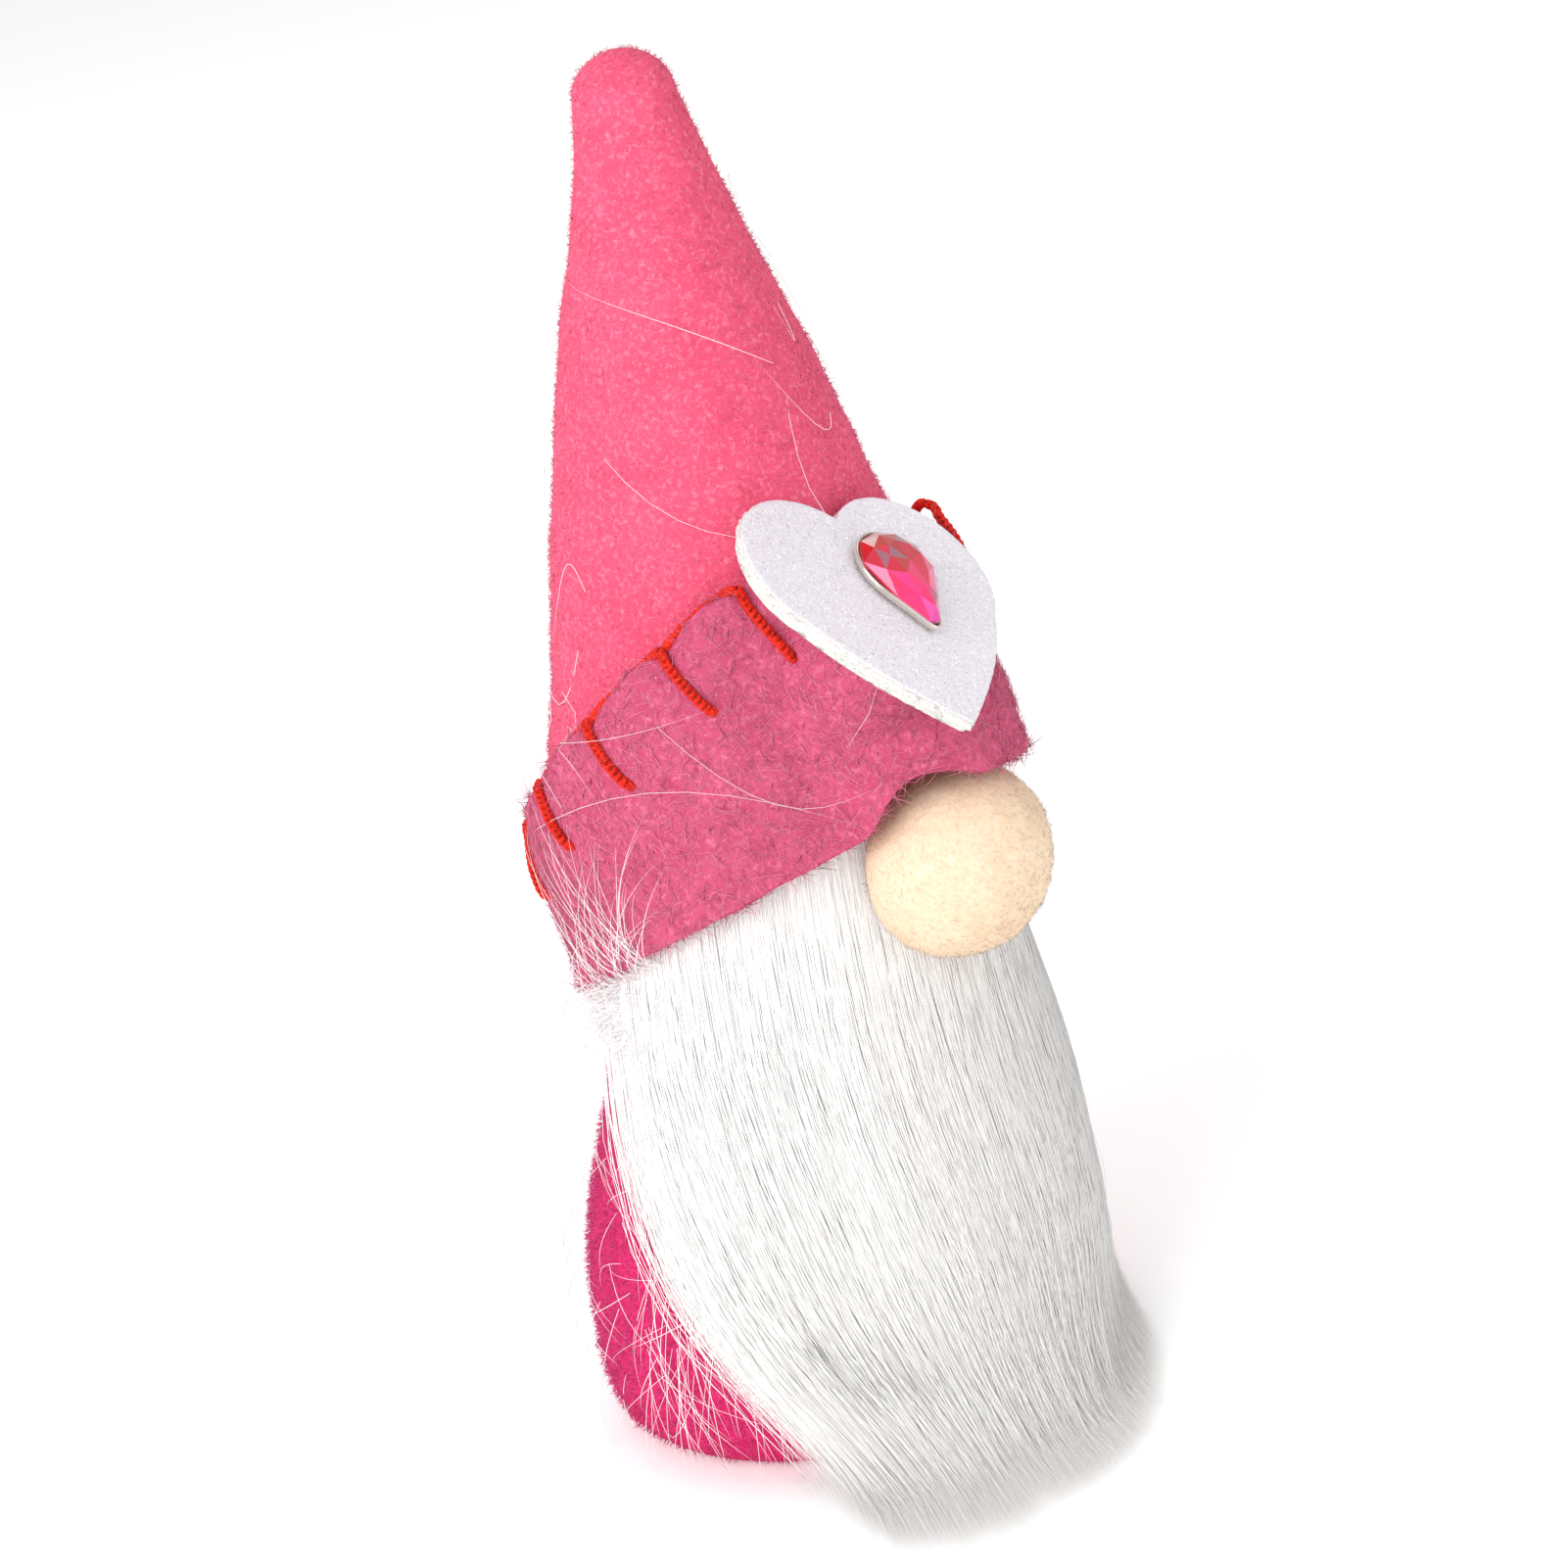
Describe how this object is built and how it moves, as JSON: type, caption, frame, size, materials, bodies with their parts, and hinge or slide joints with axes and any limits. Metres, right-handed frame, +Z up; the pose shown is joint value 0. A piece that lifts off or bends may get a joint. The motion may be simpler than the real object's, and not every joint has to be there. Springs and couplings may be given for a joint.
{
  "type": "tomte gnome figurine",
  "caption": "Stuffed tomte gnome with a plush body, long white fur beard, ball nose, tall felt hat with a stitched brim, and a glitter heart with a drop-shaped stone.",
  "frame": {"origin": "on the body's vertical axis at the underside of the flat base", "axes": "+Z up through the hat, the nose and beard face -Y, +X to the gnome's left"},
  "size_m": [0.0907, 0.0854, 0.1805],
  "materials": {
    "plush_cloth": "short plush pile",
    "base_cloth": "short plush pile, flattened",
    "sewing_thread": "twisted thread",
    "grey_board": "matte board",
    "pouch_cloth": "plain woven cloth",
    "sand": "loose grains, modelled as one solid",
    "fibre_fill": "loose polyester fibre",
    "fur_backing": "knitted backing",
    "fur": "long straight pile",
    "ball_felt": "needle-felted wool",
    "hat_fleece": "brushed fleece",
    "brim_felt": "thick matted felt",
    "red_yarn": "twisted yarn",
    "craft_foam": "rough-cut foam edge",
    "glitter_coat": "fine white glitter",
    "drop_stone": "faceted clear acrylic",
    "silver_foil": "bright foil backing",
    "hot_glue": "set hot glue"
  },
  "bodies": {
    "root": {"body_sack": "plush_cloth", "base_disc": "base_cloth", "base_seam_thread": "sewing_thread", "base_board": "grey_board", "weight_pouch": "pouch_cloth", "weight_sand": "sand", "body_stuffing": "fibre_fill", "sack_tie": "sewing_thread", "beard_backing": "fur_backing", "beard_fur": "fur", "nose_ball": "ball_felt", "nose_glue": "hot_glue", "hat_cone": "hat_fleece", "hat_seam_allowance": "hat_fleece", "hat_stuffing": "fibre_fill", "hat_glue_bead": "hot_glue", "brim_band": "brim_felt", "stitch_legs": "red_yarn", "stitch_edge_yarn": "red_yarn", "heart_foam": "craft_foam", "heart_glitter": "glitter_coat", "heart_glue": "hot_glue", "gem_stone": "drop_stone", "gem_foil": "silver_foil", "gem_glue": "hot_glue"}
  },
  "joints": []
}
